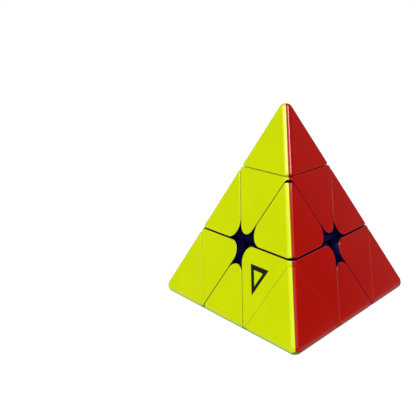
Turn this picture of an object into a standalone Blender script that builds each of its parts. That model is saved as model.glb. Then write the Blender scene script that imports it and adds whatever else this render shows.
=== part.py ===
"""Pyramid twisty puzzle, a tetrahedron that turns about its four corners.

Four arms of a core carry four axial pieces on screws. Each axial piece holds a spinning tip above it,
and its spherical underside holds the feet of the three edge pieces around it. Every outer piece is a
navy body with one coloured cap on each facet.

The origin is the centre of the core, where all four turning axes meet. +Z points to the top corner,
and the front corner points towards -Y. Lengths are in metres.
"""

import math

import bmesh
import bpy
from mathutils import Matrix, Vector

# Outer shape
SHARP_EDGE = 0.102  # edge of the tetrahedron before its ridges are rounded
RIDGE_RADIUS = 0.0022
RIDGE_FLATS = 4  # flats that round a ridge, from one face to the next
POINT_BLUNTING = 0.0005  # how much lower a corner's point is than its rounded ridges leave it
POINT_SETBACK = 0.0007  # how far down each ridge the blunting starts
END_RADIUS = 0.0008  # rounds the sharp ends of edge and tip pieces on the ridges
END_FLATS = 4
WAIST_DEPTH = 0.0006  # of an axial piece's narrow waist on a ridge, beside the tip
WAIST_LEAN = 0.5  # share of the way round from the tip's cut to the ridge

# Cuts square to each corner's axis, as distances from the core
TIP_CUT = 0.0332
LAYER_CUT = 0.00745
FOOT_CUT = 0.0027  # the same cut inside the mechanism's sphere
SEAM = 0.00032  # air between neighbouring pieces
FOOT_SEAM = 0.0004
TOP_LIFT = 0.0002  # the top layer floats on its magnets

# Coloured caps
CAP_THICKNESS = 0.0018
CAP_SEAT = 0.00008  # glue line between a cap and its body, and between caps at a ridge
LEAST_WALL = 0.0006  # of a cap, where it is rounded
EDGE_CAP_CORNER = 0.0058  # plan radius of an edge cap's inner corner
AXIAL_CAP_CORNER = 0.0046
CORNER_FLATS = 5

# Mechanism, by distance from the core
BALL_RADIUS = 0.0110
ARM_RADIUS = 0.0034
ARM_START = 0.0030  # inside the ball
ARM_END = 0.0120
FOOT_INNER = 0.0133
FOOT_OUTER = 0.01675
UNDERSIDE = 0.01715
NECK_END = 0.0186
NECK_INSET = 0.0001  # keeps the neck's walls inside those of the block and the foot it joins
STEM_RADIUS = 0.0060
STEM_END = 0.0123
WEB_TOP = 0.0144
RUNNING_GAP = 0.0003

# Bores of an axial piece, from the web out
SCREW_HOLE = 0.0016
MAGNET_BORE = 0.0040
GROOVE_RADIUS = 0.0048
GROOVE_START = 0.0228
GROOVE_END = 0.0264
GROOVE_LEAD = 0.0008  # length of the slope that leads into the groove
MOUTH_RADIUS = 0.0042
MOUTH_LEAD = 0.0006
OVERSHOOT = 0.001  # how far a cutter passes beyond what it cuts

# Screw and magnet
SHANK_RADIUS = 0.0012
SHANK_HOLE = 0.00135
SHANK_START = 0.0065
FLANGE_RADIUS = 0.0036
FLANGE_START = 0.0174
FLANGE_END = 0.0189
HEAD_RADIUS = 0.0028
HEAD_END = 0.0206
HEAD_DOME_INSET = 0.0008
HEAD_DOME_HEIGHT = 0.0006
POINT_LENGTH = 0.0012  # of the screw's conical point
RECESS_LENGTH = 0.0034
RECESS_WIDTH = 0.0007
RECESS_DEPTH = 0.0011
MAGNET_BASE = 0.0146
MAGNET_TOP = 0.0161
MAGNET_HOLE = 0.0017
MAGNET_RADIUS = 0.0037

# Hub of a tip, which snaps into its axial piece's groove
HUB_RADIUS = 0.0039
BEAD_RADIUS = 0.00445
BEAD_LEAD = 0.0009  # length of the slope up to the bead
BEAD_BACK = 0.0005
HUB_START = 0.0235
HUB_PLAY = 0.0004
HUB_ROOT = 0.002  # how far the hub reaches into its tip

ROUND_STEPS = 32
SMALL_ROUND_STEPS = 24  # of screws and magnets
ARC_STEPS = 9
SOCKET_ARC_END = 80  # degrees from the axis to the rim of an axial piece's underside
SMOOTH_BELOW = 32  # degrees

FACE_DISTANCE = SHARP_EDGE * math.sqrt(6) / 12
ROOT_2 = math.sqrt(2)

# Unit vectors from the core to the corners
CORNERS = {
    "top": Vector((0, 0, 1)),
    "front": Vector((0, -2 * ROOT_2 / 3, -1 / 3)),
    "left": Vector((-math.sqrt(2 / 3), ROOT_2 / 3, -1 / 3)),
    "right": Vector((math.sqrt(2 / 3), ROOT_2 / 3, -1 / 3)),
}
# The face across from each corner has one colour
FACE_COLOURS = {"right": "yellow", "left": "red", "front": "blue", "top": "green"}
EDGES = [
    ("top", "front"),
    ("top", "left"),
    ("top", "right"),
    ("front", "right"),
    ("right", "left"),
    ("left", "front"),
]

# Colour, roughness and metallic value
FINISHES = {
    "yellow": ((0.60, 0.74, 0.01), 0.25, 0.0),
    "red": ((0.40, 0.01, 0.005), 0.25, 0.0),
    "blue": ((0.01, 0.08, 0.45), 0.25, 0.0),
    "green": ((0.01, 0.32, 0.05), 0.25, 0.0),
    "navy": ((0.008, 0.009, 0.05), 0.35, 0.0),
    "steel": ((0.55, 0.55, 0.57), 0.30, 1.0),
    "magnet": ((0.62, 0.61, 0.58), 0.22, 1.0),
}


def clear_scene():
    for thing in list(bpy.data.objects):
        bpy.data.objects.remove(thing, do_unlink=True)


def new_collection(name):
    collection = bpy.data.collections.new(name)
    bpy.context.scene.collection.children.link(collection)
    return collection


def new_material(name):
    colour, roughness, metallic = FINISHES[name]
    material = bpy.data.materials.new(name)
    material.use_nodes = True
    shader = material.node_tree.nodes["Principled BSDF"]
    shader.inputs["Base Color"].default_value = (*colour, 1)
    shader.inputs["Roughness"].default_value = roughness
    shader.inputs["Metallic"].default_value = metallic
    return material


# ---------- directions and planes ----------


def others(*names):
    return [name for name in CORNERS if name not in names]


def outward(face):
    """The unit normal of the face across from the corner of that name."""
    return -CORNERS[face]


def blend_directions(first, second, share):
    """A unit vector that lies share of the way round from first to second."""
    angle = first.angle(second)
    return (first * math.sin((1 - share) * angle) + second * math.sin(share * angle)) / math.sin(angle)


def beyond(corner, distance):
    """The half-space further than distance along a corner's axis, as (outward normal, distance)."""
    return (-CORNERS[corner], -distance)


def within(corner, distance):
    return (CORNERS[corner], distance)


def under_face(face, depth):
    """The half-space that lies deeper than depth under a face."""
    return (outward(face), FACE_DISTANCE - depth)


def meeting_point(first, first_distance, second, second_distance):
    """The point nearest the core that lies at both distances along two unit vectors."""
    dot = first.dot(second)
    first_share = (first_distance - second_distance * dot) / (1 - dot * dot)
    second_share = (second_distance - first_distance * dot) / (1 - dot * dot)
    return first * first_share + second * second_share


def rounding(first, second, radius, flats):
    """Flats that round the corner between two planes, each given as (outward normal, distance)."""
    centre = meeting_point(first[0], first[1] - radius, second[0], second[1] - radius)
    planes = []
    for step in range(1, flats):
        normal = blend_directions(first[0], second[0], step / flats)
        planes.append((normal, normal.dot(centre) + radius))
    return planes


def ridge_planes(first, second):
    """Flats that round the ridge between two faces."""
    return rounding(under_face(first, 0), under_face(second, 0), RIDGE_RADIUS, RIDGE_FLATS)


def ridge_crest(first, second):
    """The plane that touches the top of the rounded ridge between two faces."""
    depth = FACE_DISTANCE - RIDGE_RADIUS
    axis_point = meeting_point(outward(first), depth, outward(second), depth)
    return (axis_point.normalized(), axis_point.length + RIDGE_RADIUS)


def end_planes(wall, first, second):
    """Flats that round the sharp end where a wall meets the ridge between two faces."""
    return rounding(wall, ridge_crest(first, second), END_RADIUS, END_FLATS)


def waist_plane(corner, first, second):
    """The slope across an axial piece's waist on the ridge between two faces."""
    wall_normal, wall_distance = within(corner, TIP_CUT - SEAM / 2)
    crest_normal, crest_distance = ridge_crest(first, second)
    low = meeting_point(wall_normal, wall_distance, crest_normal, crest_distance - WAIST_DEPTH)
    normal = blend_directions(wall_normal, crest_normal, WAIST_LEAN)
    return (normal, normal.dot(low))


def deeper(planes, depth):
    return [(normal, distance - depth) for normal, distance in planes]


def point_planes(corner):
    """Flats that round the point of a corner, between its three ridges."""
    axis = CORNERS[corner]
    meeting = axis * 3 * (FACE_DISTANCE - RIDGE_RADIUS)
    centres = [meeting - axis * POINT_BLUNTING]
    normals = [axis]
    for neighbour in others(corner):
        down_ridge = (CORNERS[neighbour] - axis).normalized()
        centres.append(meeting + down_ridge * POINT_SETBACK)
        normals.append((axis * 2 - CORNERS[neighbour]).normalized())
        normals.append((axis * 2 + CORNERS[neighbour]).normalized())
    planes = []
    for normal in normals:
        planes.append((normal, max(normal.dot(centre) for centre in centres) + RIDGE_RADIUS))
    return planes


def ridge_middle(face, neighbour):
    """The side of the plane halfway between two faces that belongs to the first."""
    return ((outward(neighbour) - outward(face)).normalized(), -CAP_SEAT / 2)


def corner_planes(face, first, second, radius):
    """Flats that round the corner between two walls of a cap, to a radius in the plane of its face.

    Both walls lean equally to the face, so the flats keep that lean all round the corner.
    """
    face_normal = outward(face)
    lean = first[0].dot(face_normal)
    reach = math.sqrt(1 - lean * lean)
    sides = []
    offsets = []
    for normal, distance in (first, second):
        sides.append((normal - face_normal * lean) / reach)
        offsets.append((distance - lean * FACE_DISTANCE) / reach - radius)
    centre = meeting_point(sides[0], offsets[0], sides[1], offsets[1])
    planes = []
    for step in range(1, CORNER_FLATS):
        side = blend_directions(sides[0], sides[1], step / CORNER_FLATS)
        normal = side * reach + face_normal * lean
        planes.append((normal, (centre.dot(side) + radius) * reach + FACE_DISTANCE * lean))
    return planes


# ---------- meshes ----------


def cut_block(name, planes):
    """The convex solid inside every half-space, cut from a block."""
    solid = bmesh.new()
    bmesh.ops.create_cube(solid, size=3 * SHARP_EDGE)
    for normal, distance in planes:
        geometry = solid.verts[:] + solid.edges[:] + solid.faces[:]
        bmesh.ops.bisect_plane(
            solid,
            geom=geometry,
            dist=1e-7,
            plane_co=normal * distance,
            plane_no=normal,
            clear_outer=True,
        )
        rim = [edge for edge in solid.edges if edge.is_boundary]
        bmesh.ops.holes_fill(solid, edges=rim)
    bmesh.ops.recalc_face_normals(solid, faces=solid.faces[:])
    mesh = bpy.data.meshes.new(name)
    solid.to_mesh(mesh)
    solid.free()
    return mesh


def turned(name, profile, steps):
    """A solid of revolution about +Z, from (radius, height) points that start on the axis, at the top."""
    outline = bpy.data.meshes.new(name + "_profile")
    points = [(radius, 0, height) for radius, height in profile]
    outline.from_pydata(points, [(i, i + 1) for i in range(len(points) - 1)], [])
    helper = bpy.data.objects.new(name + "_helper", outline)
    WORKSHOP.objects.link(helper)
    screw = helper.modifiers.new("turn", "SCREW")
    screw.axis = "Z"
    screw.steps = steps
    screw.render_steps = steps
    screw.use_merge_vertices = True
    screw.merge_threshold = 1e-6
    return frozen(name, helper)


def rod(name, radius, base, top, steps):
    """A cylinder on +Z between two heights."""
    return turned(name, [(0, top), (radius, top), (radius, base), (0, base)], steps)


def frozen(name, helper):
    """The helper's evaluated mesh, after which the helper is thrown away."""
    bpy.context.view_layer.update()
    graph = bpy.context.evaluated_depsgraph_get()
    mesh = bpy.data.meshes.new_from_object(helper.evaluated_get(graph))
    mesh.name = name
    mesh.materials.clear()
    bpy.data.objects.remove(helper, do_unlink=True)
    return mesh


def carve(name, mesh, steps):
    """Applies (operation, other mesh, placing matrix) steps to the mesh, one Boolean each."""
    for operation, other, placing in steps:
        helper = bpy.data.objects.new(name + "_blank", mesh)
        tool = bpy.data.objects.new(name + "_tool", other)
        tool.matrix_world = placing
        tool.hide_render = True
        tool.display_type = "WIRE"
        WORKSHOP.objects.link(helper)
        CUTTERS.objects.link(tool)
        boolean = helper.modifiers.new("carve", "BOOLEAN")
        boolean.operation = operation
        boolean.solver = "EXACT"
        boolean.object = tool
        mesh = frozen(name, helper)
        bpy.data.objects.remove(tool, do_unlink=True)
    return mesh


def turn_between(start, end):
    """The rotation that takes one ordered set of corners to another."""
    rows_start = Matrix([CORNERS[name] for name in start]).transposed()
    rows_end = Matrix([CORNERS[name] for name in end]).transposed()
    return (rows_end @ rows_start.inverted()).to_4x4()


def placing(start, end):
    """The rotation that takes the named corners to others, swapping the last two if it has to."""
    spare_start = [name for name in CORNERS if name not in start]
    spare_end = [name for name in CORNERS if name not in end]
    for candidate in (spare_end, spare_end[::-1]):
        rotation = turn_between((start + spare_start)[:3], (end + candidate)[:3])
        if rotation.determinant() > 0:
            return rotation
    return placing(start, [end[1], end[0]] + end[2:])


def arc(radius, first_degrees, last_degrees):
    """Points of a circle about the core, with angles from the axis."""
    points = []
    for step in range(ARC_STEPS + 1):
        angle = math.radians(first_degrees + (last_degrees - first_degrees) * step / ARC_STEPS)
        points.append((radius * math.sin(angle), radius * math.cos(angle)))
    return points


# ---------- pieces, each made once for the top corner or the top front edge ----------


def ball(radius):
    solid = bmesh.new()
    bmesh.ops.create_uvsphere(solid, u_segments=ROUND_STEPS, v_segments=ROUND_STEPS // 2, radius=radius)
    mesh = bpy.data.meshes.new("ball")
    solid.to_mesh(mesh)
    solid.free()
    return mesh


def core_mesh():
    arm = rod("arm", ARM_RADIUS, ARM_START, ARM_END, ROUND_STEPS)
    hole = rod("hole", SHANK_HOLE, SHANK_START, ARM_END + RUNNING_GAP, SMALL_ROUND_STEPS)
    steps = []
    for operation, other in (("UNION", arm), ("DIFFERENCE", hole)):
        for corner in CORNERS:
            steps.append((operation, other, placing(["top"], [corner])))
    return carve("core_spider", ball(BALL_RADIUS), steps)


def screw_mesh():
    start = SHANK_START + RUNNING_GAP
    profile = [
        (0, HEAD_END),
        (HEAD_RADIUS - HEAD_DOME_INSET, HEAD_END),
        (HEAD_RADIUS, HEAD_END - HEAD_DOME_HEIGHT),
        (HEAD_RADIUS, FLANGE_END),
        (FLANGE_RADIUS, FLANGE_END),
        (FLANGE_RADIUS, FLANGE_START),
        (SHANK_RADIUS, FLANGE_START),
        (SHANK_RADIUS, start + POINT_LENGTH),
        (0, start),
    ]
    blade = bmesh.new()
    bmesh.ops.create_cube(blade, size=1)
    bmesh.ops.scale(blade, vec=(RECESS_LENGTH, RECESS_WIDTH, 2 * RECESS_DEPTH), verts=blade.verts[:])
    recess = bpy.data.meshes.new("recess")
    blade.to_mesh(recess)
    blade.free()
    at_head = Matrix.Translation((0, 0, HEAD_END))
    crossed = at_head @ Matrix.Rotation(math.radians(90), 4, "Z")
    steps = [("DIFFERENCE", recess, at_head), ("DIFFERENCE", recess, crossed)]
    return carve("screw", turned("screw", profile, SMALL_ROUND_STEPS), steps)


def magnet_mesh():
    disc = rod("ring_magnet", MAGNET_RADIUS, MAGNET_BASE, MAGNET_TOP, SMALL_ROUND_STEPS)
    base = MAGNET_BASE - RUNNING_GAP
    hole = rod("magnet_hole", MAGNET_HOLE, base, MAGNET_TOP + RUNNING_GAP, SMALL_ROUND_STEPS)
    return carve("ring_magnet", disc, [("DIFFERENCE", hole, Matrix())])


def axial_cutter():
    """The air inside an axial piece: the tip's socket, the bore, and the sphere round its stem."""
    beyond_piece = TIP_CUT + OVERSHOOT
    stem_top = math.degrees(math.asin(STEM_RADIUS / UNDERSIDE))
    profile = [
        (0, beyond_piece),
        (MOUTH_RADIUS, beyond_piece),
        (MOUTH_RADIUS, GROOVE_END + MOUTH_LEAD),
        (GROOVE_RADIUS, GROOVE_END),
        (GROOVE_RADIUS, GROOVE_START),
        (MAGNET_BORE, GROOVE_START - GROOVE_LEAD),
        (MAGNET_BORE, WEB_TOP),
        (SCREW_HOLE, WEB_TOP),
        (SCREW_HOLE, STEM_END),
        (STEM_RADIUS, STEM_END),
    ]
    profile += arc(UNDERSIDE, stem_top, SOCKET_ARC_END) + [(0, 0)]
    return turned("axial_air", profile, ROUND_STEPS)


def axial_walls(corner):
    """The cuts round an axial piece: its tip's, its layer's, and those of the other three layers."""
    walls = [within(corner, TIP_CUT - SEAM / 2), beyond(corner, LAYER_CUT + SEAM / 2)]
    return walls + [within(other, LAYER_CUT - SEAM / 2) for other in others(corner)]


def axial_body_mesh():
    seats = []
    for face in others("top"):
        seats.append(under_face(face, CAP_THICKNESS + CAP_SEAT))
        seats += deeper([waist_plane("top", *others("top", face))], LEAST_WALL)
    block = cut_block("axial_block", axial_walls("top") + seats)
    return carve("axial_body", block, [("DIFFERENCE", axial_cutter(), Matrix())])


def axial_cap_mesh():
    """The cap of the top axial piece on the face across from the right corner."""
    face = "right"
    tip_wall = within("top", TIP_CUT - SEAM / 2)
    front_wall = within("front", LAYER_CUT - SEAM / 2)
    left_wall = within("left", LAYER_CUT - SEAM / 2)
    planes = [tip_wall, front_wall, left_wall, cap_floor(face), under_face(face, 0)]
    planes += ridge_planes(face, "left") + ridge_planes(face, "front")
    planes += [ridge_middle(face, "left"), ridge_middle(face, "front")]
    planes += [waist_plane("top", face, "left"), waist_plane("top", face, "front")]
    planes += corner_planes(face, front_wall, left_wall, AXIAL_CAP_CORNER)
    return cut_block("axial_cap", planes)


def edge_walls():
    walls = []
    for corner in ("top", "front"):
        walls += [beyond(corner, LAYER_CUT + SEAM / 2), within(corner, TIP_CUT - SEAM / 2)]
    return walls


def edge_body_mesh():
    """The top front edge piece: its outer block, a neck, and a foot inside the mechanism's sphere."""
    seats = [under_face(face, CAP_THICKNESS + CAP_SEAT) for face in ("left", "right")]
    for corner in ("top", "front"):
        wall = beyond(corner, LAYER_CUT + SEAM / 2)
        seats += deeper(end_planes(wall, "left", "right"), LEAST_WALL)
    block = cut_block("edge_block", edge_walls() + seats)
    middle = (CORNERS["top"] + CORNERS["front"]).normalized()
    neck_walls = [beyond(corner, LAYER_CUT + SEAM / 2 + NECK_INSET) for corner in ("top", "front")]
    for corner in ("left", "right"):
        neck_walls.append(within(corner, FOOT_CUT - FOOT_SEAM / 2 - NECK_INSET))
        neck_walls.append(under_face(corner, CAP_THICKNESS + CAP_SEAT + NECK_INSET))
    neck = cut_block("edge_neck", neck_walls + [(middle, NECK_END)])
    sides = [within(corner, FOOT_CUT - FOOT_SEAM / 2) for corner in ("left", "right")]
    foot_walls = [beyond(corner, FOOT_CUT + FOOT_SEAM / 2) for corner in ("top", "front")]
    foot = cut_block("edge_foot", foot_walls + sides + [(middle, NECK_END)])
    foot = carve("edge_foot", foot, [("INTERSECT", ball(FOOT_OUTER), Matrix())])
    steps = [
        ("DIFFERENCE", ball(UNDERSIDE), Matrix()),
        ("UNION", neck, Matrix()),
        ("UNION", foot, Matrix()),
        ("DIFFERENCE", ball(FOOT_INNER), Matrix()),
    ]
    return carve("edge_body", block, steps)


def edge_cap_mesh():
    """The cap of the top front edge piece on the face across from the right corner."""
    face = "right"
    top_wall = beyond("top", LAYER_CUT + SEAM / 2)
    front_wall = beyond("front", LAYER_CUT + SEAM / 2)
    planes = edge_walls() + [cap_floor(face), under_face(face, 0)]
    planes += ridge_planes(face, "left") + [ridge_middle(face, "left")]
    planes += end_planes(top_wall, face, "left") + end_planes(front_wall, face, "left")
    planes += corner_planes(face, top_wall, front_wall, EDGE_CAP_CORNER)
    return cut_block("edge_cap", planes)


def tip_body_mesh():
    base = beyond("top", TIP_CUT + SEAM / 2)
    planes = [base]
    for face in others("top"):
        planes.append(under_face(face, CAP_THICKNESS + CAP_SEAT))
        planes += deeper(end_planes(base, *others("top", face)), LEAST_WALL)
    block = cut_block("tip_block", planes)
    bead_end = GROOVE_END - HUB_PLAY
    profile = [
        (0, TIP_CUT + HUB_ROOT),
        (HUB_RADIUS, TIP_CUT + HUB_ROOT),
        (HUB_RADIUS, bead_end),
        (BEAD_RADIUS, bead_end - BEAD_BACK),
        (BEAD_RADIUS, HUB_START + BEAD_LEAD),
        (HUB_RADIUS, HUB_START),
        (0, HUB_START),
    ]
    hub = turned("tip_hub", profile, ROUND_STEPS)
    return carve("tip_body", block, [("UNION", hub, Matrix())])


def tip_cap_mesh():
    """The cap of the top tip on the face across from the right corner."""
    face = "right"
    base = beyond("top", TIP_CUT + SEAM / 2)
    planes = [base, cap_floor(face), under_face(face, 0)] + point_planes("top")
    for neighbour in others("top", face):
        planes += ridge_planes(face, neighbour) + [ridge_middle(face, neighbour)]
        planes += end_planes(base, face, neighbour)
    return cut_block("tip_cap", planes)


def cap_floor(face):
    """The half-space above the underside of a face's caps."""
    return (-outward(face), CAP_THICKNESS - FACE_DISTANCE)


# ---------- assembly ----------


def new_pivot(name):
    """An empty on the core's centre, where every turning axis passes."""
    pivot = bpy.data.objects.new(name, None)
    pivot.empty_display_size = SHARP_EDGE / 4
    PUZZLE.objects.link(pivot)
    return pivot


def add_piece(name, mesh, finish, pivot, rotation, lift):
    """One named object. Copies of a mesh each carry their own material in an object slot."""
    piece = bpy.data.objects.new(name, mesh)
    PUZZLE.objects.link(piece)
    piece.parent = pivot
    piece.matrix_local = Matrix.Translation((0, 0, lift)) @ rotation
    if not mesh.materials:
        mesh.materials.append(MATERIALS[finish])
    piece.material_slots[0].link = "OBJECT"
    piece.material_slots[0].material = MATERIALS[finish]
    return piece


def shade_round(mesh):
    mesh.shade_smooth()
    mesh.set_sharp_from_angle(angle=math.radians(SMOOTH_BELOW))


def lift_of(*corners):
    """How far a piece floats: only the pieces of the top layer do."""
    return TOP_LIFT if "top" in corners else 0


def build():
    meshes = {
        "core": core_mesh(),
        "screw": screw_mesh(),
        "magnet": magnet_mesh(),
        "axial_body": axial_body_mesh(),
        "axial_cap": axial_cap_mesh(),
        "edge_body": edge_body_mesh(),
        "edge_cap": edge_cap_mesh(),
        "tip_body": tip_body_mesh(),
        "tip_cap": tip_cap_mesh(),
    }
    for mesh in meshes.values():
        shade_round(mesh)

    core = new_pivot("core_pivot")
    add_piece("core_spider", meshes["core"], "navy", core, Matrix(), 0)
    for corner in CORNERS:
        turn = placing(["top"], [corner])
        lift = lift_of(corner)
        add_piece("screw_" + corner, meshes["screw"], "steel", core, turn, 0)
        axial = new_pivot("axial_" + corner + "_pivot")
        tip = new_pivot("tip_" + corner + "_pivot")
        tip.parent = axial
        add_piece("ring_magnet_" + corner, meshes["magnet"], "magnet", axial, turn, lift)
        add_piece("axial_" + corner + "_body", meshes["axial_body"], "navy", axial, turn, lift)
        add_piece("tip_" + corner + "_body", meshes["tip_body"], "navy", tip, turn, lift)
        for face in others(corner):
            colour = FACE_COLOURS[face]
            turn = placing(["top", "right"], [corner, face])
            ending = "_" + corner + "_" + colour + "_cap"
            add_piece("axial" + ending, meshes["axial_cap"], colour, axial, turn, lift)
            add_piece("tip" + ending, meshes["tip_cap"], colour, tip, turn, lift)

    for first, second in EDGES:
        name = "edge_" + first + "_" + second
        edge = new_pivot(name + "_pivot")
        lift = lift_of(first, second)
        body_turn = placing(["top", "front"], [first, second])
        add_piece(name + "_body", meshes["edge_body"], "navy", edge, body_turn, lift)
        for face in others(first, second):
            colour = FACE_COLOURS[face]
            turn = edge_cap_turn(first, second, face)
            add_piece(name + "_" + colour + "_cap", meshes["edge_cap"], colour, edge, turn, lift)


def edge_cap_turn(first, second, face):
    """The rotation of the top front edge's cap on the right corner's face to another edge and face."""
    for pair in ([first, second], [second, first]):
        rotation = turn_between(["top", "front", "right"], pair + [face])
        if rotation.determinant() > 0:
            return rotation


clear_scene()
WORKSHOP = new_collection("workshop")
CUTTERS = new_collection("cutters")
PUZZLE = new_collection("pyramid_twisty_puzzle")
MATERIALS = {name: new_material(name) for name in FINISHES}
build()
bpy.data.collections.remove(WORKSHOP)
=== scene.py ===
"""Looks of the pyramid twisty puzzle: rounded coloured caps, navy inner pieces, plain studio.

Every cap is rebuilt here as a fine mesh that stands for its CAD node: the same flat cuts, with
far more flats round each ridge and corner, and a rounded rim. The inner pieces keep their CAD
meshes, with bevelled edges. Lengths are in metres, and corner names are those of the CAD nodes.
"""

import math

import bmesh
import bpy
from mathutils import Matrix, Vector


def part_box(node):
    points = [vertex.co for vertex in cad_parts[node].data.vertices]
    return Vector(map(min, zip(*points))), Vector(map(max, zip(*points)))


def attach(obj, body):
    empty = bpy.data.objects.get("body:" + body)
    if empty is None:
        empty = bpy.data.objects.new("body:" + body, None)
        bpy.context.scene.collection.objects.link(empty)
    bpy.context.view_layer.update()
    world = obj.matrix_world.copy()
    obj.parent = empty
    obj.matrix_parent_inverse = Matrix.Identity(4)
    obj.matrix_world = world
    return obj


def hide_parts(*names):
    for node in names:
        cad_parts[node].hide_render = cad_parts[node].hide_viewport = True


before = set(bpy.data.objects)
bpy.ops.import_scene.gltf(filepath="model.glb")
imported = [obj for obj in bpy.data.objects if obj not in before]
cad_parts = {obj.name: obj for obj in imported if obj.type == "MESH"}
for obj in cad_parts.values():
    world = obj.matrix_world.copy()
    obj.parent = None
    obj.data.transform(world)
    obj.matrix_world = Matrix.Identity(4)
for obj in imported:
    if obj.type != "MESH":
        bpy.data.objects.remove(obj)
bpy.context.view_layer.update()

# ---------- sizes ----------

# Outer shape and cuts, as distances from the core
FACE_DISTANCE = -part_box("axial_front_green_cap")[0].z
SHARP_EDGE = FACE_DISTANCE * 12 / math.sqrt(6)
RIDGE_RADIUS = 0.0022
POINT_BLUNTING = 0.0005  # how much lower a corner's point is than its rounded ridges leave it
POINT_SETBACK = 0.0007  # how far down each ridge the blunting starts
END_RADIUS = 0.0008  # rounds the sharp ends of edge and tip pieces on the ridges
WAIST_DEPTH = 0.0009  # of an axial piece's narrow waist on a ridge, beside the tip
WAIST_LEAN = 0.4  # share of the way round from the tip's cut to the ridge
TIP_CUT = 0.0332
LAYER_CUT = 0.00745
SEAM = 0.00032
TIP_SEAM = 0.00020
TOP_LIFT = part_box("edge_top_front_yellow_cap")[0].z - LAYER_CUT - SEAM / 2

# Coloured caps
CAP_THICKNESS = 0.0018
CAP_SEAT = 0.00006  # between the caps that meet along a ridge
EDGE_CAP_CORNER = 0.0058  # plan radius of an edge cap's inner corner
AXIAL_CAP_CORNER = 0.0046
RIM_RADIUS = 0.0004  # rounds the edges of the facets along the seams
JOINT_RADIUS = 0.00012  # rounds the edges where two caps meet along a ridge
INNER_BEVEL = 0.00015  # softens the edges of the inner pieces

# Flats from one side of each rounding to the other
RIDGE_FLATS = 16
CORNER_FLATS = 14
END_FLATS = 10
RIM_FLATS = 4
JOINT_FLATS = 3
POINT_STEPS = 8
INNER_BEVEL_FLATS = 2

# Limits for cutting and shading a mesh
LEAST_RIM_ANGLE = 20  # degrees between two surfaces that get a rounded rim
LEAST_WALL_ANGLE = 60  # degrees from the face at which a wall is navy
SAME_DIRECTION = 0.9999  # cosine of the angle between normals that count as one
SHARP_ANGLE = 40  # degrees between two facets, from which their edge stays sharp
CUT_TOLERANCE = 1e-8
MERGE_DISTANCE = 2e-6
LEAST_EDGE = 1e-6

# Printed mark, a triangle with a triangular hole, both sized by the circle through their points
MARK_RADIUS = 0.0070
MARK_HOLE = 0.0036
MARK_DISTANCE = 0.0178  # from the middle of the face towards its front corner
MARK_THICKNESS = 0.00003

# Surfaces
PLASTIC_IOR = 1.5
FLOW_SCALE = 60  # flow marks of a moulding, per metre
FLOW_BEND = 0.6
FLOW_RANGE = (0.3, 0.7)  # noise values that give the darkest and the lightest marks
GRAIN_SCALE = 1200
GRAIN_HEIGHT = 0.00001
GLOSS_SPREAD = 0.1  # share by which the grain changes the roughness
METAL_GLOSS = (0.7, 1.4)  # shares of the roughness, in and between the marks
METAL_SHADE = 0.85  # share of the colour that the marks keep

# Camera
CAMERA_AZIMUTH = -2.703  # degrees
CAMERA_ELEVATION = 14.180
CAMERA_AIM = (4.565, 2.771, -0.232)  # degrees of yaw, pitch and roll away from the core
CAMERA_DISTANCE = 3.6851 * SHARP_EDGE
CAMERA_LENS = 85.173  # millimetres, as is the sensor
CAMERA_SENSOR = 36
CAMERA_NEAR = 0.01

# Studio. A glow has a direction, where its fade starts and ends, and its strength.
ROOM_FRONT = ((-0.2, -0.85, 0.5), (0.1, 0.8), 1.4)
ROOM_BACK = ((0, 1, 0), (0.48, 0.72), 0.4)
ROOM_DARK = 0.03
FLOOR_SIZE = 6
FLOOR_GAP = 0.0002
FLOOR_GREY = 0.3
FLOOR_GLOW = 0.93  # to the camera
FLOOR_BOUNCE = 0.6  # onto the puzzle
FLOOR_MIRRORED = 0.3  # in the puzzle's gloss

# Each light's direction from the core, its upward direction, its distance, its width and height,
# its radiance, and whether it makes highlights
LIGHTS = {
    "key": ((-0.337, -0.245, 0.909), (0.907, -0.343, 0.243), 0.81, (0.34, 0.60), 6.5, True),
    "strip": ((0.545, -0.127, 0.829), (0.717, 0.571, -0.402), 0.8155, (0.34, 0.26), 12, True),
    "left_fill": ((-0.90, -0.35, 0.25), (0, 0, 1), 0.5, (0.4, 0.4), 1.95, False),
    "right_fill": ((0.65, -0.65, 0.45), (0, 0, 1), 0.6, (0.4, 0.4), 2.8, False),
}

CORNERS = {
    "top": Vector((0, 0, 1)),
    "front": Vector((0, -2 * math.sqrt(2) / 3, -1 / 3)),
    "left": Vector((-math.sqrt(2 / 3), math.sqrt(2) / 3, -1 / 3)),
    "right": Vector((math.sqrt(2 / 3), math.sqrt(2) / 3, -1 / 3)),
}
FACE_COLOURS = {"right": "yellow", "left": "red", "front": "blue", "top": "green"}
EDGES = [
    ("top", "front"),
    ("top", "left"),
    ("top", "right"),
    ("front", "right"),
    ("right", "left"),
    ("left", "front"),
]


# ---------- directions and planes, each an outward normal and a distance from the core ----------


def others(*names):
    return [name for name in CORNERS if name not in names]


def outward(face):
    """The unit normal of the face across from the corner of that name."""
    return -CORNERS[face]


def beyond(corner, distance):
    """The half-space further than distance along a corner's axis."""
    return (-CORNERS[corner], -distance)


def within(corner, distance):
    return (CORNERS[corner], distance)


def face_plane(face):
    return (outward(face), FACE_DISTANCE)


def cap_floor(face):
    return (-outward(face), CAP_THICKNESS - FACE_DISTANCE)


def blend_directions(first, second, share):
    """A unit vector that lies share of the way round from first to second."""
    angle = first.angle(second)
    first_part = first * math.sin((1 - share) * angle)
    second_part = second * math.sin(share * angle)
    return (first_part + second_part) / math.sin(angle)


def meeting_point(first, first_distance, second, second_distance):
    """The point nearest the core that lies at both distances along two unit vectors."""
    dot = first.dot(second)
    first_share = (first_distance - second_distance * dot) / (1 - dot * dot)
    second_share = (second_distance - first_distance * dot) / (1 - dot * dot)
    return first * first_share + second * second_share


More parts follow.
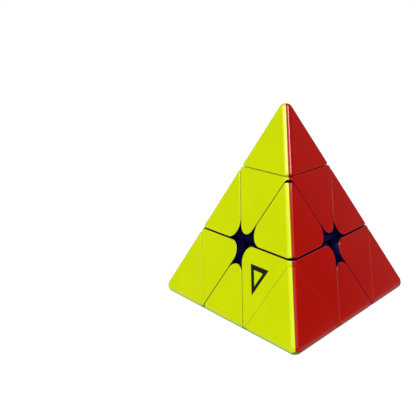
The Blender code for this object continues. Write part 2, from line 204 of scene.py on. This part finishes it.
def rounding(first, second, radius, flats):
    """Flats that round the edge between two planes."""
    centre = meeting_point(first[0], first[1] - radius, second[0], second[1] - radius)
    planes = []
    for step in range(1, flats):
        normal = blend_directions(first[0], second[0], step / flats)
        planes.append((normal, normal.dot(centre) + radius))
    return planes


def ridge_flats(face, neighbour):
    """The flats of a ridge on the first face's side, up to its top."""
    flats = rounding(face_plane(face), face_plane(neighbour), RIDGE_RADIUS, RIDGE_FLATS)
    return flats[: RIDGE_FLATS // 2]


def ridge_middle(face, neighbour):
    """The side of the plane halfway between two faces that belongs to the first."""
    return ((outward(neighbour) - outward(face)).normalized(), -CAP_SEAT / 2)


def ridge_joint(face, neighbour):
    """The cap's side of the seam along a ridge, with its small rounding."""
    middle = ridge_middle(face, neighbour)
    top = ridge_flats(face, neighbour)[-1]
    return [middle] + rounding(middle, top, JOINT_RADIUS, JOINT_FLATS)


def waist_flat(wall, face, neighbour):
    """The slope across an axial piece's waist on a ridge."""
    crest_normal, crest_distance = ridge_flats(face, neighbour)[-1]
    low = meeting_point(wall[0], wall[1], crest_normal, crest_distance - WAIST_DEPTH)
    normal = blend_directions(wall[0], crest_normal, WAIST_LEAN)
    return (normal, normal.dot(low))


def end_flats(wall, face, neighbour):
    """Flats that round the sharp end where a wall meets a ridge."""
    return rounding(wall, ridge_flats(face, neighbour)[-1], END_RADIUS, END_FLATS)


def point_flats(corner, face):
    """Flats that round the point of a corner, on one face's third of it."""
    axis = CORNERS[corner]
    meeting = axis * 3 * (FACE_DISTANCE - RIDGE_RADIUS)
    centres = [meeting - axis * POINT_BLUNTING]
    for neighbour in others(corner):
        centres.append(meeting + (CORNERS[neighbour] - axis).normalized() * POINT_SETBACK)
    middles = [(outward(face) + outward(other)).normalized() for other in others(corner, face)]
    flats = []
    for across in range(1, POINT_STEPS + 1):
        for along in range(1, POINT_STEPS + 1):
            low = blend_directions(outward(face), middles[0], across / POINT_STEPS)
            high = blend_directions(middles[1], axis, across / POINT_STEPS)
            normal = blend_directions(low, high, along / POINT_STEPS)
            reach = max(normal.dot(centre) for centre in centres)
            flats.append((normal, reach + RIDGE_RADIUS))
    return flats


def corner_flats(face, first, second, radius):
    """Flats that round the corner between two walls of a cap, to a radius in the face's outline.

    Both walls lean equally to the face, so the flats keep that lean all round the corner.
    """
    face_normal = outward(face)
    lean = first[0].dot(face_normal)
    reach = math.sqrt(1 - lean * lean)
    sides = []
    for normal, distance in (first, second):
        side = (normal - face_normal * lean) / reach
        sides.append((side, (distance - lean * FACE_DISTANCE) / reach))
    flats = []
    for side, distance in rounding(sides[0], sides[1], radius, CORNER_FLATS):
        flats.append((side * reach + face_normal * lean, distance * reach + FACE_DISTANCE * lean))
    return flats


# ---------- cap meshes ----------


def cut_solid(planes):
    """The convex solid inside every half-space, cut from a block."""
    solid = bmesh.new()
    bmesh.ops.create_cube(solid, size=3 * SHARP_EDGE)
    for normal, distance in planes:
        if all(normal.dot(vertex.co) <= distance for vertex in solid.verts):
            continue
        bmesh.ops.bisect_plane(
            solid,
            geom=solid.verts[:] + solid.edges[:] + solid.faces[:],
            dist=CUT_TOLERANCE,
            plane_co=normal * distance,
            plane_no=normal,
            clear_outer=True,
        )
        rim = [edge for edge in solid.edges if edge.is_boundary]
        bmesh.ops.holes_fill(solid, edges=rim)
    bmesh.ops.remove_doubles(solid, verts=solid.verts[:], dist=MERGE_DISTANCE)
    bmesh.ops.dissolve_degenerate(solid, edges=solid.edges[:], dist=LEAST_EDGE)
    bmesh.ops.recalc_face_normals(solid, faces=solid.faces[:])
    return solid


def cap_mesh(name, face, skin, walls, joints, navy_shade_walls):
    """A cap under the skin's planes, inside its walls, with rounded rims between the two.

    The dark walls and the underside are navy, the body's colour; on the walls this navy is also
    painted shade, the darkness deep in the seams.
    """
    planes = [cap_floor(face)] + joints + walls + skin
    for wall in walls:
        for surface in skin:
            angle = math.degrees(wall[0].angle(surface[0]))
            if angle > LEAST_RIM_ANGLE:
                planes += rounding(surface, wall, RIM_RADIUS, RIM_FLATS)
    solid = cut_solid(planes)
    mesh = bpy.data.meshes.new(name)
    solid.to_mesh(mesh)
    solid.free()
    # These walls take the navy: the body's colour, and painted shade deep in the seams
    sides = [wall[0] for wall in navy_shade_walls] + [-outward(face)]
    for polygon in mesh.polygons:
        on_side = max(polygon.normal.dot(side) for side in sides) > SAME_DIRECTION
        if on_side and polygon.normal.angle(outward(face)) > math.radians(LEAST_WALL_ANGLE):
            polygon.material_index = 1
    mesh.shade_smooth()
    mesh.set_sharp_from_angle(angle=math.radians(SHARP_ANGLE))
    return mesh


def axial_cap():
    """The cap of the top axial piece on the face across from the right corner."""
    face = "right"
    front_wall = within("front", LAYER_CUT - SEAM / 2)
    left_wall = within("left", LAYER_CUT - SEAM / 2)
    tip_wall = within("top", TIP_CUT - TIP_SEAM / 2)
    corner = corner_flats(face, front_wall, left_wall, AXIAL_CAP_CORNER)
    # Walls that are navy, painted shade in the seams between pieces
    navy_shade_walls = [front_wall, left_wall] + corner
    walls = [tip_wall] + navy_shade_walls
    skin = [face_plane(face)] + ridge_flats(face, "left") + ridge_flats(face, "front")
    skin += [waist_flat(tip_wall, face, "left"), waist_flat(tip_wall, face, "front")]
    joints = ridge_joint(face, "left") + ridge_joint(face, "front")
    return cap_mesh("axial_cap", face, skin, walls, joints, navy_shade_walls)


def edge_cap():
    """The cap of the top front edge piece on the face across from the right corner."""
    face = "right"
    top_wall = beyond("top", LAYER_CUT + SEAM / 2)
    front_wall = beyond("front", LAYER_CUT + SEAM / 2)
    ends = [within("top", TIP_CUT - SEAM / 2), within("front", TIP_CUT - SEAM / 2)]
    corner = corner_flats(face, top_wall, front_wall, EDGE_CAP_CORNER)
    # Walls that are navy, painted shade in the seams between pieces
    navy_shade_walls = [top_wall, front_wall] + ends + corner
    walls = navy_shade_walls + end_flats(top_wall, face, "left") + end_flats(front_wall, face, "left")
    skin = [face_plane(face)] + ridge_flats(face, "left")
    return cap_mesh("edge_cap", face, skin, walls, ridge_joint(face, "left"), navy_shade_walls)


def tip_cap():
    """The cap of the top tip on the face across from the right corner."""
    face = "right"
    base = beyond("top", TIP_CUT + TIP_SEAM / 2)
    walls = [base] + end_flats(base, face, "left") + end_flats(base, face, "front")
    skin = [face_plane(face)] + ridge_flats(face, "left") + ridge_flats(face, "front")
    joints = ridge_joint(face, "left") + ridge_joint(face, "front") + point_flats("top", face)
    return cap_mesh("tip_cap", face, skin, walls, joints, [])


def turn_between(start, end):
    """The rotation that takes one ordered set of three corners to another."""
    rows_start = Matrix([CORNERS[name] for name in start]).transposed()
    rows_end = Matrix([CORNERS[name] for name in end]).transposed()
    return (rows_end @ rows_start.inverted()).to_4x4()


def proper_turn(start, choices):
    """The first of the choices that a rotation can reach, rather than a mirroring."""
    for end in choices:
        rotation = turn_between(start, end)
        if rotation.determinant() > 0:
            return rotation
    raise ValueError("no rotation takes these corners to the others")


# ---------- materials ----------


def plastic(name, colour, roughness, shine, variation, grain):
    """Moulded plastic with slow flow marks in its colour and a fine grain in its gloss."""
    material = bpy.data.materials.new(name)
    material.use_nodes = True
    nodes = material.node_tree.nodes
    links = material.node_tree.links
    shader = nodes["Principled BSDF"]
    shader.inputs["IOR"].default_value = PLASTIC_IOR
    shader.inputs["Specular IOR Level"].default_value = shine
    place = nodes.new("ShaderNodeTexCoord")

    flow = nodes.new("ShaderNodeTexNoise")
    flow.inputs["Scale"].default_value = FLOW_SCALE
    flow.inputs["Detail"].default_value = 2
    flow.inputs["Distortion"].default_value = FLOW_BEND
    links.new(place.outputs["Object"], flow.inputs["Vector"])
    tint = nodes.new("ShaderNodeMapRange")
    tint.inputs["From Min"].default_value = FLOW_RANGE[0]
    tint.inputs["From Max"].default_value = FLOW_RANGE[1]
    tint.inputs["To Min"].default_value = 1 - variation
    tint.inputs["To Max"].default_value = 1 + variation
    links.new(flow.outputs["Fac"], tint.inputs["Value"])
    shade = nodes.new("ShaderNodeVectorMath")
    shade.operation = "SCALE"
    shade.inputs[0].default_value = colour
    links.new(tint.outputs["Result"], shade.inputs["Scale"])
    links.new(shade.outputs["Vector"], shader.inputs["Base Color"])

    specks = nodes.new("ShaderNodeTexNoise")
    specks.inputs["Scale"].default_value = GRAIN_SCALE
    specks.inputs["Detail"].default_value = 3
    links.new(place.outputs["Object"], specks.inputs["Vector"])
    gloss = nodes.new("ShaderNodeMapRange")
    gloss.inputs["To Min"].default_value = roughness * (1 - GLOSS_SPREAD)
    gloss.inputs["To Max"].default_value = roughness * (1 + GLOSS_SPREAD)
    links.new(specks.outputs["Fac"], gloss.inputs["Value"])
    links.new(gloss.outputs["Result"], shader.inputs["Roughness"])

    bump = nodes.new("ShaderNodeBump")
    bump.inputs["Strength"].default_value = grain
    bump.inputs["Distance"].default_value = GRAIN_HEIGHT
    links.new(specks.outputs["Fac"], bump.inputs["Height"])
    links.new(bump.outputs["Normal"], shader.inputs["Normal"])
    return material


def metal(name, colour, roughness, marks_per_metre):
    """Plated metal with a fine mottle in its gloss and its colour."""
    material = bpy.data.materials.new(name)
    material.use_nodes = True
    nodes = material.node_tree.nodes
    links = material.node_tree.links
    shader = nodes["Principled BSDF"]
    shader.inputs["Metallic"].default_value = 1
    place = nodes.new("ShaderNodeTexCoord")
    marks = nodes.new("ShaderNodeTexNoise")
    marks.inputs["Scale"].default_value = marks_per_metre
    marks.inputs["Detail"].default_value = 4
    links.new(place.outputs["Object"], marks.inputs["Vector"])
    gloss = nodes.new("ShaderNodeMapRange")
    gloss.inputs["To Min"].default_value = roughness * METAL_GLOSS[0]
    gloss.inputs["To Max"].default_value = roughness * METAL_GLOSS[1]
    links.new(marks.outputs["Fac"], gloss.inputs["Value"])
    links.new(gloss.outputs["Result"], shader.inputs["Roughness"])
    tint = nodes.new("ShaderNodeMix")
    tint.data_type = "RGBA"
    tint.inputs["A"].default_value = (*[channel * METAL_SHADE for channel in colour], 1)
    tint.inputs["B"].default_value = (*colour, 1)
    links.new(marks.outputs["Fac"], tint.inputs["Factor"])
    links.new(tint.outputs["Result"], shader.inputs["Base Color"])
    return material


# Colour of each cap plastic
PAINTS = {
    "yellow": (0.63, 0.745, 0.001),
    "red": (0.43, 0.004, 0.0006),
    "blue": (0.004, 0.07, 0.42),
    "green": (0.003, 0.33, 0.05),
}
CAP_ROUGHNESS = 0.10
CAP_SHINE = 0.38
CAP_VARIATION = 0.025
CAP_GRAIN = 0.12

CAP_MATERIALS = {}
for paint, rgb in PAINTS.items():
    name = paint + "_abs"
    material = plastic(name, rgb, CAP_ROUGHNESS, CAP_SHINE, CAP_VARIATION, CAP_GRAIN)
    CAP_MATERIALS[paint] = material
NAVY = plastic("navy_abs", (0.001, 0.0005, 0.03), 0.35, 0.08, 0.1, 0.25)
INK = plastic("black_ink", (0.006, 0.006, 0.009), 0.4, 0.3, 0.2, 0.2)
STEEL = metal("zinc_plate", (0.55, 0.55, 0.57), 0.3, 900)
NICKEL = metal("nickel_plate", (0.62, 0.61, 0.58), 0.2, 600)


# ---------- assembly ----------

PIECES = bpy.data.collections.new("pyramid_twisty_puzzle_looks")
bpy.context.scene.collection.children.link(PIECES)


def add_cap(body, mesh, paint, rotation):
    """The fine cap that stands for one CAD cap."""
    node = body + "_" + paint + "_cap"
    piece = bpy.data.objects.new(body + "_" + paint + "_shell", mesh.copy())
    lift = TOP_LIFT if "top" in body else 0
    piece.data.transform(Matrix.Translation((0, 0, lift)) @ rotation)
    piece.data.materials.append(CAP_MATERIALS[paint])
    piece.data.materials.append(NAVY)
    PIECES.objects.link(piece)
    even_shading(piece)
    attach(piece, body)
    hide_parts(node)


def even_shading(piece):
    """Keeps wide facets flat where small rounded ones meet them."""
    weighted = piece.modifiers.new("even_shading", "WEIGHTED_NORMAL")
    weighted.keep_sharp = True


def build_caps():
    axial_mesh = axial_cap()
    edge_mesh = edge_cap()
    tip_mesh = tip_cap()
    for corner in CORNERS:
        for face in others(corner):
            choices = [[corner, face, third] for third in others(corner, face)]
            turn = proper_turn(["top", "right", "left"], choices)
            add_cap("axial_" + corner, axial_mesh, FACE_COLOURS[face], turn)
            add_cap("tip_" + corner, tip_mesh, FACE_COLOURS[face], turn)
    for first, second in EDGES:
        for face in others(first, second):
            choices = [[first, second, face], [second, first, face]]
            turn = proper_turn(["top", "front", "right"], choices)
            add_cap("edge_" + first + "_" + second, edge_mesh, FACE_COLOURS[face], turn)


def build_mark():
    """A plain triangular ring, printed on the yellow facet of the front axial piece."""
    normal = outward("right")
    front = CORNERS["front"]
    toward_front = (front - normal * front.dot(normal)).normalized()
    across = normal.cross(toward_front)
    ring = bmesh.new()
    edges = []
    for radius in (MARK_RADIUS, MARK_HOLE):
        made = bmesh.ops.create_circle(ring, segments=3, radius=radius)
        edges += [edge for edge in ring.edges if edge.verts[0] in made["verts"]]
    bmesh.ops.bridge_loops(ring, edges=edges)
    bmesh.ops.recalc_face_normals(ring, faces=ring.faces[:])
    if ring.faces[:][0].normal.z < 0:
        bmesh.ops.reverse_faces(ring, faces=ring.faces[:])
    mesh = bpy.data.meshes.new("facet_mark")
    ring.to_mesh(mesh)
    ring.free()
    centre = normal * (FACE_DISTANCE + MARK_THICKNESS) + toward_front * MARK_DISTANCE
    basis = Matrix((across, -toward_front, normal)).transposed().to_4x4()
    mesh.transform(Matrix.Translation(centre) @ basis)
    mark = bpy.data.objects.new("facet_mark", mesh)
    mark.data.materials.append(INK)
    PIECES.objects.link(mark)
    ink = mark.modifiers.new("ink", "SOLIDIFY")
    ink.thickness = 2 * MARK_THICKNESS
    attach(mark, "axial_front")


def finish_inner_pieces():
    """Gives the CAD nodes that stay their materials, and softens their edges."""
    for name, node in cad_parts.items():
        if name.endswith("_cap"):
            continue
        if name.startswith("screw"):
            material = STEEL
        elif name.startswith("ring_magnet"):
            material = NICKEL
        else:
            material = NAVY
        node.data.materials.clear()
        node.data.materials.append(material)
        weld = node.modifiers.new("weld", "WELD")
        weld.merge_threshold = LEAST_EDGE
        soften = node.modifiers.new("soften", "BEVEL")
        soften.width = INNER_BEVEL
        soften.segments = INNER_BEVEL_FLATS
        soften.limit_method = "ANGLE"
        soften.angle_limit = math.radians(SHARP_ANGLE)
        even_shading(node)


# ---------- studio ----------


def softbox(name, direction, up, distance, size, radiance, highlight):
    """A rectangular light that faces the core. It makes highlights, or else it only brightens."""
    towards = Vector(direction).normalized()
    side = Vector(up).cross(towards).normalized()
    basis = Matrix((side, towards.cross(side), towards)).transposed().to_4x4()
    lamp = bpy.data.lights.new(name, "AREA")
    lamp.shape = "RECTANGLE"
    lamp.size, lamp.size_y = size
    lamp.energy = radiance * math.pi * size[0] * size[1]
    thing = bpy.data.objects.new(name, lamp)
    thing.matrix_world = Matrix.Translation(towards * distance) @ basis
    thing.visible_diffuse = not highlight
    thing.visible_glossy = highlight
    bpy.context.scene.collection.objects.link(thing)


def side_glow(nodes, links, direction, fade, strength):
    """A value that rises from the room's darkness to strength towards one side."""
    place = nodes.new("ShaderNodeTexCoord")
    facing = nodes.new("ShaderNodeVectorMath")
    facing.operation = "DOT_PRODUCT"
    facing.inputs[1].default_value = Vector(direction).normalized()
    links.new(place.outputs["Generated"], facing.inputs[0])
    glow = nodes.new("ShaderNodeMapRange")
    glow.interpolation_type = "SMOOTHSTEP"
    glow.inputs["From Min"].default_value = fade[0]
    glow.inputs["From Max"].default_value = fade[1]
    glow.inputs["To Min"].default_value = ROOM_DARK
    glow.inputs["To Max"].default_value = strength
    links.new(facing.outputs["Value"], glow.inputs["Value"])
    return glow.outputs["Result"]


def build_world():
    """White for the camera. The puzzle mirrors a room that is bright in front and behind it."""
    world = bpy.data.worlds.new("studio")
    world.use_nodes = True
    nodes = world.node_tree.nodes
    links = world.node_tree.links
    seen = nodes["Background"]
    seen.inputs["Color"].default_value = (1, 1, 1, 1)
    room = nodes.new("ShaderNodeBackground")
    brighter = nodes.new("ShaderNodeMath")
    brighter.operation = "MAXIMUM"
    links.new(side_glow(nodes, links, *ROOM_FRONT), brighter.inputs[0])
    links.new(side_glow(nodes, links, *ROOM_BACK), brighter.inputs[1])
    links.new(brighter.outputs["Value"], room.inputs["Strength"])
    rays = nodes.new("ShaderNodeLightPath")
    mix = nodes.new("ShaderNodeMixShader")
    links.new(rays.outputs["Is Camera Ray"], mix.inputs["Fac"])
    links.new(room.outputs["Background"], mix.inputs[1])
    links.new(seen.outputs["Background"], mix.inputs[2])
    links.new(mix.outputs["Shader"], nodes["World Output"].inputs["Surface"])
    bpy.context.scene.world = world


def build_floor():
    """Pale paper that keeps only a faint shadow, and is darker where the puzzle mirrors it."""
    bpy.ops.mesh.primitive_plane_add(size=FLOOR_SIZE, location=(0, 0, -FACE_DISTANCE - FLOOR_GAP))
    floor = bpy.context.object
    floor.name = "floor"
    paper = bpy.data.materials.new("floor_paper")
    paper.use_nodes = True
    nodes = paper.node_tree.nodes
    links = paper.node_tree.links
    shader = nodes["Principled BSDF"]
    shader.inputs["Base Color"].default_value = (FLOOR_GREY, FLOOR_GREY, FLOOR_GREY, 1)
    shader.inputs["Roughness"].default_value = 0.8
    shader.inputs["Specular IOR Level"].default_value = 0.1
    shader.inputs["Emission Color"].default_value = (1, 1, 1, 1)
    shader.inputs["Emission Strength"].default_value = FLOOR_GLOW
    bounce = nodes.new("ShaderNodeEmission")
    rays = nodes.new("ShaderNodeLightPath")
    share = nodes.new("ShaderNodeMapRange")
    share.inputs["To Min"].default_value = FLOOR_BOUNCE
    share.inputs["To Max"].default_value = FLOOR_MIRRORED
    links.new(rays.outputs["Is Glossy Ray"], share.inputs["Value"])
    links.new(share.outputs["Result"], bounce.inputs["Strength"])
    mix = nodes.new("ShaderNodeMixShader")
    links.new(rays.outputs["Is Camera Ray"], mix.inputs["Fac"])
    links.new(bounce.outputs["Emission"], mix.inputs[1])
    links.new(shader.outputs["BSDF"], mix.inputs[2])
    links.new(mix.outputs["Shader"], nodes["Material Output"].inputs["Surface"])
    paper.cycles.emission_sampling = "NONE"
    floor.data.materials.append(paper)


def turn_pair(first, second, angle):
    """Two perpendicular vectors, both turned by the angle from the first towards the second."""
    cosine, sine = math.cos(angle), math.sin(angle)
    return first * cosine + second * sine, second * cosine - first * sine


def build_camera():
    """The camera stands a little above the middle of the puzzle and looks past its left side."""
    azimuth, elevation = math.radians(CAMERA_AZIMUTH), math.radians(CAMERA_ELEVATION)
    yaw, pitch, roll = [math.radians(angle) for angle in CAMERA_AIM]
    flat = Vector((math.sin(azimuth), -math.cos(azimuth), 0))
    back = flat * math.cos(elevation) + Vector((0, 0, math.sin(elevation)))
    place = back * CAMERA_DISTANCE
    right = Vector((math.cos(azimuth), math.sin(azimuth), 0))
    up = back.cross(right)
    back, right = turn_pair(back, right, yaw)
    up, back = turn_pair(up, back, pitch)
    right, up = turn_pair(right, up, roll)
    lens = bpy.data.cameras.new("camera")
    lens.sensor_width = CAMERA_SENSOR
    lens.lens = CAMERA_LENS
    lens.clip_start = CAMERA_NEAR
    camera = bpy.data.objects.new("camera", lens)
    basis = Matrix((right, up, back)).transposed().to_4x4()
    camera.matrix_world = Matrix.Translation(place) @ basis
    bpy.context.scene.collection.objects.link(camera)
    bpy.context.scene.camera = camera


build_caps()
build_mark()
finish_inner_pieces()
build_world()
build_floor()
for light, settings in LIGHTS.items():
    softbox(light, *settings)
build_camera()
bpy.context.scene.view_settings.view_transform = "Standard"
